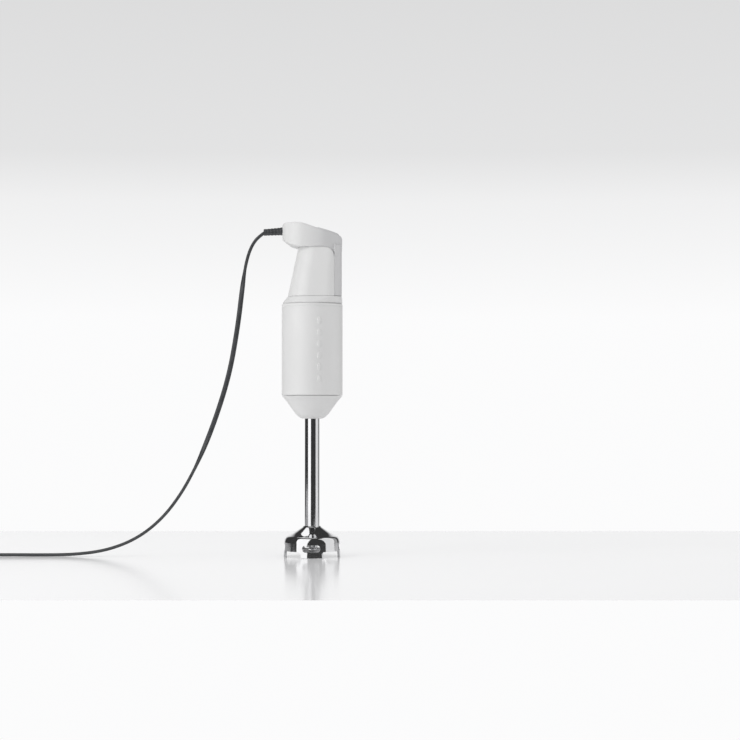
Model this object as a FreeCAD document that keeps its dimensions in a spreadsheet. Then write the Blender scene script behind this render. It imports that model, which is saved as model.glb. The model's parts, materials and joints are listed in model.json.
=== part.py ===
import FreeCAD, Part
import math
import os
import Sketcher
from FreeCAD import Placement, Rotation, Vector

# Immersion blender, in millimetres. Z is the motor's axis and points up, the blade guard's four
# feet stand on z = 0, the cord leaves the head towards -X and the press buttons face +X.

SIZES = {
    # motor housing and nose
    "barrel_radius": 31.9, "barrel_inner": 29.6, "barrel_bottom": 168.8, "barrel_top": 264.4,
    "barrel_edge": 0.7, "lip_radius": 28.6, "lip_high": 169.9, "shelf_radius": 26.0,
    "shelf_low": 181.4, "shelf_high": 183.4,
    "nose_radius": 31.6, "nose_bottom": 144.4, "nose_top": 168.4, "spigot_radius": 26.8,
    "spigot_wall": 2.0, "spigot_top": 180.6, "key_width": 8.0, "key_radius": 28.0,
    "key_low": 171.0, "key_tall": 8.0, "ring_inner": 27.1, "ring_outer": 29.3,
    "ring_low": 170.2, "ring_high": 181.1,
    # leg, guard and blade
    "tube_radius": 7.7, "tube_wall": 0.8, "tube_low": 27.6, "tube_high": 157.0,
    "guard_top": 32.2, "guard_wall": 1.2, "shoulder_radius": 29.1, "rim_radius": 30.0,
    "hub_radius": 9.5, "hub_low": 18.0, "bush_radius": 5.0, "scallop_wide": 23.6,
    "scallop_tall": 6.6, "window_wide": 19.0, "window_tall": 7.5, "window_mid": 10.0,
    "spindle_radius": 3.0, "spindle_low": 4.9, "spindle_high": 168.0, "blade_reach": 21.0,
    "blade_mid": 8.0, "blade_thick": 1.2, "blade_pitch": 10.0, "run_gap": 0.05,
    "dog_radius": 8.5, "dog_inner": 4.6, "dog_half_angle": 20.0, "bush_low": 19.8,
    "bush_high": 27.4, "seal_low": 18.1, "flange_high": 158.4, "clip_low": 158.8, "clip_radius": 4.8,
    "dog_low": 162.0, "dog_seat": 173.0, "dog_high": 179.8, "blade_hub_high": 17.4,
    "nut_radius": 4.9, "nut_tall": 1.6,
    # motor
    "core_radius": 24.5, "yoke_inner": 18.6, "pole_inner": 14.6, "armature_radius": 14.0,
    "core_low": 209.0, "core_high": 237.0, "turns_low": 203.4, "turns_high": 242.6,
    "shaft_low": 181.2, "shaft_high": 262.6, "bearing_radius": 9.5, "bearing_wide": 6.0,
    "lower_bearing": 189.0, "upper_bearing": 255.6, "commutator_radius": 8.5,
    "commutator_low": 244.6, "commutator_high": 253.6, "fan_radius": 19.0, "fan_low": 196.4,
    "vane_tall": 4.4, "tie_offset": 21.5, "tie_radius": 1.9, "tie_low": 187.0, "tie_long": 74.6,
    "bracket_radius": 27.2, "bracket_half": 7.5, "bracket_thick": 4.0, "bracket_hub": 12.2,
    "mount_tall": 4.8, "brush_mid": 249.0,
    # handle
    "handle_wall": 2.2, "collar_low": 264.9, "collar_high": 272.0, "neck_low": 272.2,
    "neck_high": 325.0, "neck_low_left": 25.5, "neck_low_half": 27.0, "neck_right": 30.4,
    "neck_high_left": 14.2, "neck_high_half": 21.5, "spine_edge": 23.8, "spine_proud": 0.5,
    "head_left": 31.5, "head_half": 23.5, "head_corner": 23.2, "head_top": 349.2,
    "head_under": 323.6, "head_slope": 17.0, "head_bend": 10.5, "window_gap": 0.35,
    # controls
    "dial_radius": 12.6, "dial_mid": 16.0, "dial_height": 340.5, "dial_shaft": 3.0,
    "button_wide": 13.0, "button_tall": 16.0, "button_face": 31.1,
    "high_button_mid": 310.8, "low_button_mid": 288.6, "stem_radius": 2.0, "stem_tip": 22.6,
    "flange_inner": 25.2, "board_face": 13.6, "board_thick": 1.6, "plate_low": 280.0,
    "plate_high": 319.0, "clamp_mid": 23.9, "clamp_half": 2.5, "clamp_screw": 1.3,
    # cord
    "cord_radius": 2.6, "relief_root": 4.2, "relief_tip": 3.5, "relief_end": 51.0,
    "relief_height": 341.4, "coil_outer": 31.2, "coil_inner": 20.8, "coil_tall": 10.4,
    "coil_away": 374.0, "coil_aside": 28.6, "plug_near": 424.0, "plug_long": 36.0,
    "plug_wide": 34.0, "plug_neck": 13.0, "plug_tall": 13.6, "pin_radius": 2.0, "pin_long": 19.0,
    "pin_apart": 18.6,
}

# The cord's route from the strain relief to the coil, as (x, z) in the plane y = 0.
CORD_ROUTE = (
    (-50.2, 339.8), (-57.0, 335.0), (-62.3, 328.0), (-65.9, 320.2), (-68.3, 312.5),
    (-71.0, 300.2), (-74.0, 277.0), (-76.9, 251.4), (-80.6, 226.6), (-84.8, 202.5),
    (-90.6, 178.5), (-99.0, 151.5), (-109.5, 122.5), (-122.0, 93.5), (-137.5, 65.0),
    (-157.5, 39.5), (-183.5, 19.5), (-214.5, 7.6), (-248.0, 3.2), (-282.0, 2.7),
    (-315.0, 3.4), (-336.0, 2.9), (-357.0, 2.7),
)
TAIL_ROUTE = ((-391.0, 7.8), (-401.0, 7.9), (-412.5, 7.4), (-423.7, 6.8))

# Where the collar's four screws stand, and the strain relief's four ribs, as x or (x, y).
COLLAR_SCREWS = ((-12.0, 16.5), (-12.0, -16.5), (11.5, 19.8), (11.5, -19.8))
RELIEF_RIBS = (34.5, 38.0, 41.5, 45.0)

doc = FreeCAD.newDocument("ImmersionBlender")
nodes = {}


class Size(float):
    """A length that carries the sheet expression it was worked out from."""

    def __new__(cls, value, text):
        size = super().__new__(cls, value)
        size.text = text
        return size

    def __add__(self, other):
        return Size(float(self) + float(other), f"({self.text} + {expression(other)})")

    def __radd__(self, other):
        return Size(float(other) + float(self), f"({expression(other)} + {self.text})")

    def __sub__(self, other):
        return Size(float(self) - float(other), f"({self.text} - {expression(other)})")

    def __rsub__(self, other):
        return Size(float(other) - float(self), f"({expression(other)} - {self.text})")

    def __mul__(self, other):
        return Size(float(self) * float(other), f"({self.text} * {expression(other)})")

    def __truediv__(self, other):
        return Size(float(self) / float(other), f"({self.text} / {expression(other)})")

    def __neg__(self):
        return Size(-float(self), f"(0 - {self.text})")


def expression(value):
    return value.text if isinstance(value, Size) else f"({float(value)})"


class Sheet:
    """The spreadsheet of driving sizes: sheet.barrel_radius is that cell's Size."""

    def __init__(self, sizes):
        cells = doc.addObject("Spreadsheet::Sheet", "Dimensions")
        for row, (name, value) in enumerate(sizes.items(), 1):
            cells.set(f"A{row}", name)
            cells.set(f"B{row}", str(value))
            cells.setAlias(f"B{row}", name)
            setattr(self, name, Size(value, f"Dimensions.{name}"))
        doc.recompute()


d = Sheet(SIZES)


def bind(thing, name, value):
    """Sets a property, and ties it to the sheet where the value came from there."""
    if "." not in name:
        setattr(thing, name, float(value))
    if isinstance(value, Size):
        thing.setExpression(name, value.text)


def place(thing, at, turn=None):
    """Puts a thing at a point, turned by a Rotation about its own origin."""
    thing.Placement = Placement(Vector(*map(float, at)), turn or Rotation())
    for axis, value in zip("xyz", at):
        bind(thing, f"Placement.Base.{axis}", value)
    return thing


def node(name, thing):
    """Names a finished piece: its label is its file's name."""
    thing.Label = name
    nodes[name] = thing
    return thing


# --- Part primitives and booleans ---------------------------------------------------------------

UP = Vector(0, 0, 1)
ALONG_X = Rotation(Vector(0, 1, 0), 90)
ALONG_Y = Rotation(Vector(1, 0, 0), -90)


def cylinder(radius, long, at, turn=None, sector=None):
    thing = doc.addObject("Part::Cylinder", "round")
    bind(thing, "Radius", radius)
    bind(thing, "Height", long)
    if sector is not None:
        bind(thing, "Angle", sector)
    return place(thing, at, turn)


def cone(low_radius, high_radius, long, at, turn=None):
    thing = doc.addObject("Part::Cone", "taper")
    bind(thing, "Radius1", low_radius)
    bind(thing, "Radius2", high_radius)
    bind(thing, "Height", long)
    return place(thing, at, turn)


def box(xs, ys, zs):
    thing = doc.addObject("Part::Box", "block")
    bind(thing, "Length", xs[1] - xs[0])
    bind(thing, "Width", ys[1] - ys[0])
    bind(thing, "Height", zs[1] - zs[0])
    return place(thing, (xs[0], ys[0], zs[0]))


def fuse(*things):
    thing = doc.addObject("Part::MultiFuse", "joined")
    thing.Shapes = list(things)
    return thing


def cut(base, *tools):
    thing = doc.addObject("Part::Cut", "cut")
    thing.Base = base
    thing.Tool = tools[0] if len(tools) == 1 else fuse(*tools)
    return thing


def common(first, second):
    thing = doc.addObject("Part::Common", "shared")
    thing.Base = first
    thing.Tool = second
    return thing


def ring(outer, inner, low, high, at=(0, 0), sector=None, start=0):
    """A tube along Z, or the part of one that spans `sector` degrees from `start`."""
    turn = Rotation(UP, start)
    foot = (at[0], at[1], low)
    return cut(
        cylinder(outer, high - low, foot, turn, sector),
        cylinder(inner, high - low + 2, (at[0], at[1], low - 1)),
    )


# --- PartDesign bodies --------------------------------------------------------------------------


def new_body(name):
    return doc.addObject("PartDesign::Body", name)


def new_sketch(body, role, raised=None, spin=0):
    """A sketch on one of the body's own planes, raised along it or spun about its upright."""
    sketch = body.newObject("Sketcher::SketchObject", "sketch")
    plane = [item for item in body.Origin.OriginFeatures if item.Role == role][0]
    sketch.AttachmentSupport = [(plane, "")]
    sketch.MapMode = "FlatFace"
    sketch.AttachmentOffset = Placement(Vector(), Rotation(Vector(0, 1, 0), spin))
    if raised is not None:
        sketch.AttachmentOffset = Placement(Vector(0, 0, float(raised)), Rotation())
        sketch.setExpression("AttachmentOffset.Base.z", expression(raised))
    return sketch


def pin_point(sketch, edge, end, point):
    """Ties a sketch point to the sheet, axis by axis."""
    for kind, on_axis, value in (("DistanceX", -2, point[0]), ("DistanceY", -1, point[1])):
        if float(value) == 0:
            sketch.addConstraint(Sketcher.Constraint("PointOnObject", edge, end, on_axis))
            continue
        index = sketch.addConstraint(
            Sketcher.Constraint(kind, -1, 1, edge, end, float(value))
        )
        if isinstance(value, Size):
            sketch.setExpression(f"Constraints[{index}]", value.text)


def outline(sketch, points):
    """A closed outline. A point (x, y) is reached by a line, and (x, y, bulge) by an arc whose
    middle stands `bulge` to the left of its chord. A half circle needs no radius of its own."""
    spots = [Vector(float(p[0]), float(p[1]), 0) for p in points]
    ends = []
    for index, point in enumerate(points):
        start, stop = spots[index - 1], spots[index]
        if len(point) == 3:
            chord = stop - start
            side = Vector(-chord.y, chord.x, 0).normalize() * point[2]
            edge = sketch.addGeometry(Part.Arc(start, (start + stop) * 0.5 + side, stop), False)
            radius = sketch.Geometry[edge].Radius
            forward = (sketch.getPoint(edge, 1) - start).Length < 1e-6
            ends.append((edge, 1, 2) if forward else (edge, 2, 1))
            if chord.Length < 1.99 * radius:
                sketch.addConstraint(Sketcher.Constraint("Radius", edge, radius))
        else:
            edge = sketch.addGeometry(Part.LineSegment(start, stop), False)
            ends.append((edge, 1, 2))
    for index, point in enumerate(points):
        edge, _, stop_end = ends[index]
        after, start_end, _ = ends[(index + 1) % len(points)]
        sketch.addConstraint(Sketcher.Constraint("Coincident", edge, stop_end, after, start_end))
        pin_point(sketch, edge, stop_end, point)
    return sketch


def rounded_corners(left, right, half, front, back):
    """A level outline, rounded by `front` at its left end and by `back` at its right end."""
    bow_front, bow_back = -0.2929 * float(front), -0.2929 * float(back)
    return [
        (left, front - half), (left + front, -half, bow_front), (right - back, -half),
        (right, back - half, bow_back), (right, half - back), (right - back, half, bow_back),
        (left + front, half), (left, half - front, bow_front),
    ]


def level_loft(sections):
    """A solid through level rounded sections, each (left x, right x, half width, front corner
    radius, back corner radius, z)."""
    rings = []
    for left, right, half, front, back, z in sections:
        sketch = doc.addObject("Sketcher::SketchObject", "section")
        outline(sketch, rounded_corners(left, right, half, front, back))
        rings.append(place(sketch, (0, 0, z)))
    loft = doc.addObject("Part::Loft", "loft")
    loft.Sections = rings
    loft.Solid = True
    loft.Ruled = True
    return loft


def turned(name, points):
    """A body turned about Z from an outline of (radius, z) points."""
    body = new_body(name)
    sketch = outline(new_sketch(body, "XZ_Plane"), points)
    turning = body.newObject("PartDesign::Revolution", "turning")
    turning.Profile = sketch
    turning.ReferenceAxis = (sketch, ["V_Axis"])
    turning.Angle = 360
    return body


def rectangle(xs, ys):
    return [(xs[0], ys[0]), (xs[1], ys[0]), (xs[1], ys[1]), (xs[0], ys[1])]


def pad(body, sketch, long):
    feature = body.newObject("PartDesign::Pad", "pad")
    feature.Profile = sketch
    bind(feature, "Length", long)
    return feature


def pocket_through(body, sketch):
    """Cuts both ways from the sketch's plane, so the direction can't miss."""
    feature = body.newObject("PartDesign::Pocket", "pocket")
    feature.Profile = sketch
    feature.SideType = "Symmetric"
    feature.Length = 200
    return feature


def repeat_round(body, feature, count):
    pattern = body.newObject("PartDesign::PolarPattern", "around")
    axis = [item for item in body.Origin.OriginFeatures if item.Role == "Z_Axis"][0]
    pattern.Originals = [feature]
    pattern.Axis = (axis, [""])
    pattern.Angle = 360
    pattern.Occurrences = count
    body.Tip = pattern
    return pattern


# --- motor housing, interlock and nose ----------------------------------------------------------


def make_motor_housing():
    """The barrel, with a lip below and a shelf above that hold the interlock ring."""
    low, top, edge = d.barrel_bottom, d.barrel_top, d.barrel_edge
    node("motor_housing", turned("Barrel", [
        (d.lip_radius, low), (d.barrel_radius - edge, low), (d.barrel_radius, low + edge),
        (d.barrel_radius, top - edge), (d.barrel_radius - edge, top), (d.barrel_inner, top),
        (d.barrel_inner, d.shelf_high), (d.shelf_radius, d.shelf_high),
        (d.shelf_radius, d.shelf_low), (d.barrel_inner, d.shelf_low),
        (d.barrel_inner, d.lip_high), (d.lip_radius, d.lip_high),
    ]))


def make_interlock_ring():
    """The ring that turns in the barrel's mouth, with three keyways for the leg's keys."""
    body = turned("InterlockRing", rectangle(
        (d.ring_inner, d.ring_outer), (d.ring_low, d.ring_high)))
    keyway = new_sketch(body, "XY_Plane", d.ring_low - 1)
    half = d.key_width / 2 + 0.3
    outline(keyway, rectangle((d.ring_inner - 2, d.key_radius + 0.45), (-half, half)))
    feature = body.newObject("PartDesign::Pocket", "pocket")
    feature.Profile = keyway
    feature.Reversed = True
    bind(feature, "Length", d.ring_high - d.ring_low + 2)
    repeat_round(body, feature, 3)
    node("interlock_ring", body)


def make_nose_cone():
    """The tapered nose, open above, with a spigot and three keys that enter the ring."""
    inner = d.spigot_radius - d.spigot_wall
    body = turned("Nose", [
        (d.tube_radius + 0.05, d.nose_bottom), (11.0, d.nose_bottom), (13.6, 145.9, -0.45),
        (17.5, 149.2), (27.3, 163.3), (30.9, 167.0), (d.nose_radius, d.nose_top, -0.2),
        (d.spigot_radius, d.nose_top), (d.spigot_radius, d.spigot_top), (inner, d.spigot_top),
        (inner, 167.0), (15.0, d.tube_high), (d.tube_radius + 0.05, d.tube_high),
    ])
    key = new_sketch(body, "XY_Plane", d.key_low)
    half = d.key_width / 2
    outline(key, rectangle((d.spigot_radius - 1, d.key_radius), (-half, half)))
    repeat_round(body, pad(body, key, d.key_tall), 3)
    node("nose_cone", body)


# --- leg ----------------------------------------------------------------------------------------


def make_leg_tube():
    node("leg_tube", turned("LegTube", rectangle(
        (d.tube_radius - d.tube_wall, d.tube_radius), (d.tube_low, d.tube_high))))


def make_blade_guard():
    """The bell: a thin cone and skirt with a bush hub, four scallops and four oval windows."""
    wall = d.guard_wall
    body = turned("Guard", [
        (d.tube_radius + 0.05, d.guard_top), (8.7, d.guard_top), (9.4, 31.2), (21.6, 23.4),
        (26.6, 21.3), (d.shoulder_radius, 17.2, 0.75), (d.rim_radius, 0),
        (d.rim_radius - wall, 0), (d.shoulder_radius - wall, 17.0), (25.8, 20.3, -0.55),
        (21.0, 22.3), (d.hub_radius, 29.7),
        (d.hub_radius, d.hub_low), (d.bush_radius, d.hub_low),
        (d.bush_radius, d.tube_low - 0.1), (d.tube_radius + 0.05, d.tube_low - 0.1),
    ])
    half, top = d.scallop_wide / 2, d.scallop_tall
    for spin in (45, 135):
        scallop = new_sketch(body, "XZ_Plane", spin=spin)
        outline(scallop, [(-half, -2), (half, -2), (half, top - 3), (half - 3, top, -0.88),
                          (3 - half, top), (-half, top - 3, -0.88)])
        pocket_through(body, scallop)
    reach, rise = d.window_wide / 2 - d.window_tall / 2, d.window_tall / 2
    for role in ("XZ_Plane", "YZ_Plane"):
        window = new_sketch(body, role)
        low, high = d.window_mid - rise, d.window_mid + rise
        outline(window, [(reach, low), (reach, high, -float(rise)), (-reach, high),
                         (-reach, low, -float(rise))])
        pocket_through(body, window)
    node("blade_guard", body)


def make_leg_bearings():
    """The two bushes that carry the spindle, and the seal below the lower one."""
    bore = d.spindle_radius + d.run_gap
    node("lower_bush", turned("LowerBush", rectangle(
        (bore, d.bush_radius - 0.02), (d.bush_low, d.bush_high))))
    node("shaft_seal", turned("Seal", rectangle(
        (bore, d.bush_radius - 0.02), (d.seal_low, d.bush_low - 0.1))))
    tube_inner = d.tube_radius - d.tube_wall
    node("upper_bush", turned("UpperBush", [
        (bore, d.tube_high - 8), (tube_inner - 0.02, d.tube_high - 8),
        (tube_inner - 0.02, d.tube_high + 0.1), (9.0, d.tube_high + 0.1), (9.0, d.flange_high),
        (bore, d.flange_high),
    ]))


# --- spindle and blade --------------------------------------------------------------------------


def dogs(inner, outer, low, high, start):
    """Two driving dogs, opposite each other."""
    span = d.dog_half_angle * 2
    return [
        ring(outer, inner, low, high, sector=span, start=start + turn - float(span) / 2)
        for turn in (0, 180)
    ]


def make_spindle():
    grip = d.spindle_radius + 0.01
    node("drive_spindle", cylinder(
        d.spindle_radius, d.spindle_high - d.spindle_low, (0, 0, d.spindle_low)))
    node("spindle_clip", ring(d.clip_radius, grip, d.clip_low, d.clip_low + 1))
    hub = ring(d.dog_radius, grip, d.dog_low, d.dog_seat)
    node("driven_dog", fuse(hub, *dogs(
        d.dog_inner, d.dog_radius, d.dog_seat - 0.1, d.dog_high, 90)))


def make_blade():
    """Two swept wings, pitched opposite ways, on a hub that the nut holds to the spindle."""
    low = d.blade_mid - d.blade_thick / 2
    bore = d.spindle_radius + 0.01
    reach = d.blade_reach
    wings = []
    for spin in (0, 180):
        wing = new_body("Wing")
        plan = outline(new_sketch(wing, "XY_Plane"), [
            (0, -3.6), (14.0, -4.6), (reach - 1.2, -1.8), (reach, 0.6), (reach - 3.4, 3.4),
            (12.0, 4.4), (0, 3.6),
        ])
        pad(wing, plan, d.blade_thick)
        tilt = Rotation(UP, spin) * Rotation(Vector(1, 0, 0), SIZES["blade_pitch"])
        wings.append(place(wing, (0, 0, low), tilt))
    disc = cylinder(6.2, d.blade_thick, (0, 0, low))
    hole = cylinder(bore, 12, (0, 0, d.blade_mid - 6))
    node("blade", cut(fuse(disc, *wings), hole))
    node("blade_hub", ring(5.6, bore, d.blade_mid + 1.9, d.blade_hub_high))
    nut = doc.addObject("Part::Prism", "nut")
    nut.Polygon = 6
    bind(nut, "Circumradius", d.nut_radius)
    bind(nut, "Height", d.nut_tall)
    place(nut, (0, 0, d.spindle_low))
    node("blade_nut", cut(nut, cylinder(bore, 4, (0, 0, d.spindle_low - 1))))


# --- motor --------------------------------------------------------------------------------------


def make_stator():
    """A laminated yoke with two poles, and a field coil round each pole."""
    yoke = ring(d.core_radius, d.yoke_inner, d.core_low, d.core_high)
    pieces = [yoke]
    coils = []
    for turn in (0, 180):
        pieces.append(ring(d.yoke_inner + 0.5, d.pole_inner, d.core_low, d.core_high,
                           sector=70, start=turn + 55))
        loop = ring(d.yoke_inner - 0.3, d.pole_inner + 0.6, d.turns_low, d.turns_high,
                    sector=164, start=turn + 8)
        window = ring(d.yoke_inner + 2, d.pole_inner - 2, d.core_low - 0.3, d.core_high + 0.3,
                      sector=75, start=turn + 52.5)
        coils.append(cut(loop, window))
    holes = [cylinder(d.tie_radius + 0.1, 60, (d.tie_offset * side, 0, 190)) for side in (1, -1)]
    node("stator_core", cut(fuse(*pieces), *holes))
    node("field_coils", fuse(*coils))


def make_brackets():
    """The two bearing brackets, the tie screws through them, and the rubber mounts."""
    half = d.bracket_half
    for name, seat, low, hub_low, hub_tall in (
        ("lower_bracket", d.lower_bearing, d.lower_bearing - 1.6, d.lower_bearing - 1.6, 7.2),
        ("upper_bracket", d.upper_bearing, d.upper_bearing + 2.0, d.upper_bearing - 0.2, 6.2),
    ):
        arm = common(
            box((-d.bracket_radius, d.bracket_radius), (-half, half), (low, low + d.bracket_thick)),
            cylinder(d.bracket_radius, d.bracket_thick + 2, (0, 0, low - 1)),
        )
        hub = cylinder(d.bracket_hub, hub_tall, (0, 0, hub_low))
        bore = cylinder(d.bearing_radius + 0.01, d.bearing_wide + 0.6, (0, 0, seat - 0.3))
        shaft_hole = cylinder(4.0, 14, (0, 0, seat - 4))
        ties = [cylinder(d.tie_radius + 0.1, 9, (d.tie_offset * side, 0, low - 2))
                for side in (1, -1)]
        node(name, cut(fuse(arm, hub), bore, shaft_hole, *ties))
    screws = []
    for side in (1, -1):
        at = d.tie_offset * side
        screws.append(cylinder(d.tie_radius, d.tie_long, (at, 0, d.tie_low)))
        screws.append(cylinder(3.4, 2.2, (at, 0, d.tie_low - 2.2)))
    node("motor_tie_screws", fuse(*screws))
    mounts = []
    for low in (d.lower_bearing - 2.2, d.upper_bearing + 1.4):
        for start in (-14, 166):
            mounts.append(ring(d.barrel_inner - 0.05, d.bracket_radius + 0.05, low,
                               low + d.mount_tall, sector=28, start=start))
    node("rubber_mounts", fuse(*mounts))


def make_bearings():
    for name, low in (("lower_bearing", d.lower_bearing), ("upper_bearing", d.upper_bearing)):
        node(name, turned(name, rectangle(
            (d.spindle_radius + 0.04, d.bearing_radius), (low, low + d.bearing_wide - 0.4))))


def make_rotor():
    """The armature on its shaft, with commutator, fan and driving dog."""
    radius = d.spindle_radius
    node("rotor_shaft", cylinder(radius, d.shaft_high - d.shaft_low, (0, 0, d.shaft_low)))
    body = new_body("Armature")
    disc = new_sketch(body, "XY_Plane", d.core_low)
    disc.addGeometry(Part.Circle(Vector(), Vector(0, 0, 1), float(d.armature_radius)), False)
    disc.addGeometry(Part.Circle(Vector(), Vector(0, 0, 1), float(radius) + 0.01), False)
    disc.addConstraint(Sketcher.Constraint("Coincident", 0, 3, -1, 1))
    disc.addConstraint(Sketcher.Constraint("Coincident", 1, 3, -1, 1))
    index = disc.addConstraint(Sketcher.Constraint("Radius", 0, float(d.armature_radius)))
    disc.setExpression(f"Constraints[{index}]", d.armature_radius.text)
    pad(body, disc, d.core_high - d.core_low)
    slot = new_sketch(body, "XY_Plane", d.core_low - 1)
    outline(slot, rectangle((9.0, 15.0), (-0.9, 0.9)))
    groove = body.newObject("PartDesign::Pocket", "slot")
    groove.Profile = slot
    groove.Reversed = True
    bind(groove, "Length", d.core_high - d.core_low + 2)
    repeat_round(body, groove, 12)
    node("armature_core", body)
    windings = new_body("Windings")
    bars = new_sketch(windings, "XY_Plane", d.core_low - 0.6)
    outline(bars, rectangle((9.3, 12.8), (-0.6, 0.6)))
    repeat_round(windings, pad(windings, bars, d.core_high - d.core_low + 1.2), 12)
    ends = [ring(13.0, radius + 0.6, low, low + 5.0)
            for low in (d.core_low - 5.3, d.core_high + 0.3)]
    node("armature_windings", fuse(windings, *ends))
    node("commutator", ring(d.commutator_radius, radius + 0.01,
                            d.commutator_low, d.commutator_high))


def make_fan():
    body = turned("Fan", rectangle((d.spindle_radius + 0.01, d.fan_radius),
                                   (d.fan_low, d.fan_low + 1.2)))
    vane = new_sketch(body, "XY_Plane", d.fan_low + 1.0)
    outline(vane, rectangle((8.0, d.fan_radius - 0.4), (-0.6, 0.6)))
    repeat_round(body, pad(body, vane, d.vane_tall), 11)
    node("cooling_fan", body)


def make_drive_dog():
    hub = ring(d.dog_radius, d.spindle_radius + 0.01, d.shaft_low - 0.2, d.lower_bearing - 2.2)
    node("drive_dog", fuse(hub, *dogs(
        d.dog_inner, d.dog_radius, d.dog_seat + 0.8, d.shaft_low + 0.2, 0)))


def span(near, far, side):
    """Two distances from the axis, as rising coordinates on the side +1 or -1."""
    return (near, far) if side == 1 else (-far, -near)


def make_brushes():
    """Two carbon brushes, in tubes that a spring behind each one pushes along."""
    mid = d.brush_mid
    brushes, holders, springs = [], [], []
    for side in (1, -1):
        brushes.append(box((-2.0, 2.0), span(8.9, 17.0, side), (mid - 2.6, mid + 2.6)))
        tube = box((-3.2, 3.2), span(10.4, 23.4, side), (mid - 3.8, mid + 3.8))
        hollow = box((-2.2, 2.2), span(9.0, 22.4, side), (mid - 2.8, mid + 2.8))
        holders.append(cut(tube, hollow))
        near = span(17.2, 22.2, side)[0]
        springs.append(cut(cylinder(1.9, 5.0, (0, near, mid), ALONG_Y),
                           cylinder(1.3, 7.0, (0, near - 1, mid), ALONG_Y)))
    node("carbon_brushes", fuse(*brushes))
    node("brush_holders", fuse(*holders))
    node("brush_springs", fuse(*springs))


# --- handle -------------------------------------------------------------------------------------


def neck_form(grow, low, high):
    """The neck's form between two heights, `grow` larger all round than its outside."""
    sections = []
    for z in (low, high):
        share = (float(z) - float(d.neck_low)) / (float(d.neck_high) - float(d.neck_low))
        left = d.neck_low_left * (1 - share) + d.neck_high_left * share
        half = d.neck_low_half * (1 - share) + d.neck_high_half * share + grow
        sections.append((-left - grow, d.neck_right + grow, half, half * 0.86, half * 0.6, z))
    return level_loft(sections)


def make_collar_ring():
    """The flare between the barrel's round top and the neck's oval foot, open in the middle."""
    round_half, neck_half, low = d.nose_radius, d.neck_low_half + 0.2, d.collar_low
    flare = level_loft([
        (-round_half, round_half, round_half, round_half * 0.995, round_half * 0.995, low),
        (-d.neck_low_left - 0.2, d.neck_right + 1.0, neck_half, neck_half * 0.86,
         neck_half * 0.6, d.collar_high),
    ])
    spigot = cylinder(d.barrel_inner - 0.1, 3.0, (0, 0, low - 2.9))
    bore = cylinder(17.0, 16, (0, 0, low - 4))
    holes = [cylinder(1.6, 16, (x, y, low - 4)) for x, y in COLLAR_SCREWS]
    node("collar_ring", cut(fuse(flare, spigot), bore, *holes))
    screws = []
    for x, y in COLLAR_SCREWS:
        screws.append(cylinder(1.5, 15.1, (x, y, low - 3.1)))
        screws.append(cylinder(2.8, 1.6, (x, y, low - 4.6)))
    node("collar_screws", fuse(*screws))


def neck_corner(grow):
    """The rounded corner of the neck's top that the head comes down over, `grow` larger."""
    body = new_body("NeckCorner")
    x, z, bend = d.spine_edge - d.head_bend, d.head_under - d.head_bend, d.head_bend - grow
    block = pad(body, outline(new_sketch(body, "XZ_Plane"), [
        (x + bend, z, 0.2929 * bend), (40, z), (40, 332), (x, 332), (x, z + bend),
    ]), 80)
    block.SideType = "Symmetric"
    return body


def make_neck_shell():
    """The neck's shell, open behind where the spine closes it, with bosses for the screws."""
    keep = box((-40, d.spine_edge), (-40, 40), (d.neck_low, d.neck_high))
    outside = neck_form(0, d.neck_low, d.neck_high)
    shell = cut(common(outside, keep), neck_form(-d.handle_wall, 271, 327))
    floor = common(neck_form(-1.0, d.neck_low, 274.4), keep)
    floor = cut(floor, cylinder(15.0, 10, (2.0, 0, 268)))
    bosses = [cut(cylinder(3.4, 9.0, (x, y, 273.0)), cylinder(1.55, 12, (x, y, 271.0)))
              for x, y in COLLAR_SCREWS]
    holes = [cylinder(1.55, 6, (x, y, 270.0)) for x, y in COLLAR_SCREWS]
    node("neck_shell", fuse(cut(fuse(shell, floor), *holes, neck_corner(0.2)), *bosses))


def head_profile(body, inset):
    """The hooked head's side outline: a blunt cord end, a sloping top and a drooping underside."""
    sketch = new_sketch(body, "XZ_Plane")
    left, top = -d.head_left + inset, d.head_top - inset
    right = d.neck_right + 1.1 - inset
    under = d.head_under + inset
    bend, side = d.head_bend + inset, d.spine_edge + inset
    ease = 3.0 - 0.5 * float(inset)
    return outline(sketch, [
        (left, 332.0 + inset * 0.9), (left, top - ease), (left + ease, top, 0.293 * ease),
        (-15.0, top), (-1.5, 345.6 - inset * 1.03, 0.55), (28.6, 336.2 - inset * 1.03),
        (right, 332.4 - inset * 0.5, 0.75), (right - 0.5, under - bend), (side, under - bend),
        (side - bend, under, -0.2929 * bend), (-14.6, under),
        (left + 8.8, 326.0 + inset * 0.95),
    ])


def head_form(inset):
    """The head's solid form, `inset` smaller all round than its outside."""
    body = new_body("HeadForm")
    side = pad(body, head_profile(body, inset), (d.head_half - inset) * 2)
    side.SideType = "Symmetric"
    plan = new_body("HeadPlan")
    corner = d.head_corner - inset
    left, right, half = -d.head_left + inset, d.neck_right + 1.1 - inset, d.head_half - inset
    plan_outline = outline(new_sketch(plan, "XY_Plane", 310.0),
                           rounded_corners(left, right, half, corner, corner))
    pad(plan, plan_outline, 50)
    return common(body, plan)


SLOPE = Rotation(Vector(0, 1, 0), SIZES["head_slope"])
DIAL_MIDDLE = Vector(SIZES["dial_mid"], 0, SIZES["dial_height"])


def tilted(radius, low, high):
    """A cylinder on the dial's sloping axis, between two heights above the head's surface."""
    thing = cylinder(radius, high - low, (0, 0, 0), SLOPE)
    thing.Placement = Placement(DIAL_MIDDLE + SLOPE.multVec(Vector(0, 0, low)), SLOPE)
    return thing


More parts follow.
